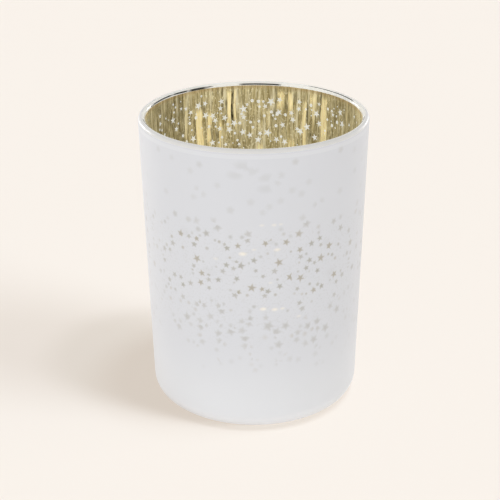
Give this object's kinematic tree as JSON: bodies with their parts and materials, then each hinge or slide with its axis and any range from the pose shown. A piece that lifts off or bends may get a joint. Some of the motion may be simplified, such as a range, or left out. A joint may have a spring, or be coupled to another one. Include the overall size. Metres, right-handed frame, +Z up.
{
  "type": "tealight holder",
  "caption": "Round tapered glass tumbler for a tealight, star-pierced gold mirror film inside and white lacquer outside, with a lift-out tealight.",
  "frame": {"origin": "on the table under the foot, at the tumbler's axis", "axes": "+Z up along the tumbler's axis, out of its mouth; everything is round about +Z, so +X and +Y are any two level directions"},
  "size_m": [0.076, 0.076, 0.1],
  "materials": {
    "clear_glass": "clear, fire-polished lip",
    "gold_mirror": "thin gold mirror film, pierced by small stars and dots",
    "white_lacquer": "sprayed satin white, slightly translucent",
    "cup_aluminium": "drawn foil, bright",
    "white_wax": "waxy, translucent",
    "cotton_wick": "braided, waxed cotton",
    "tinplate": "stamped tinplate"
  },
  "bodies": {
    "holder": {"glass_tumbler": "clear_glass", "gold_plating": "gold_mirror", "white_lacquer": "white_lacquer"},
    "tealight_cup": {"aluminium_cup": "cup_aluminium"},
    "candle": {"wax": "white_wax", "wick": "cotton_wick", "wick_sustainer": "tinplate"}
  },
  "joints": [
    {"name": "tealight_lift", "type": "slide", "parent": "holder", "child": "tealight_cup", "axis": [0, 0, 1], "range_m": [0, 0.1]},
    {"name": "candle_lift", "type": "slide", "parent": "tealight_cup", "child": "candle", "axis": [0, 0, 1], "range_m": [0, 0.018]}
  ]
}
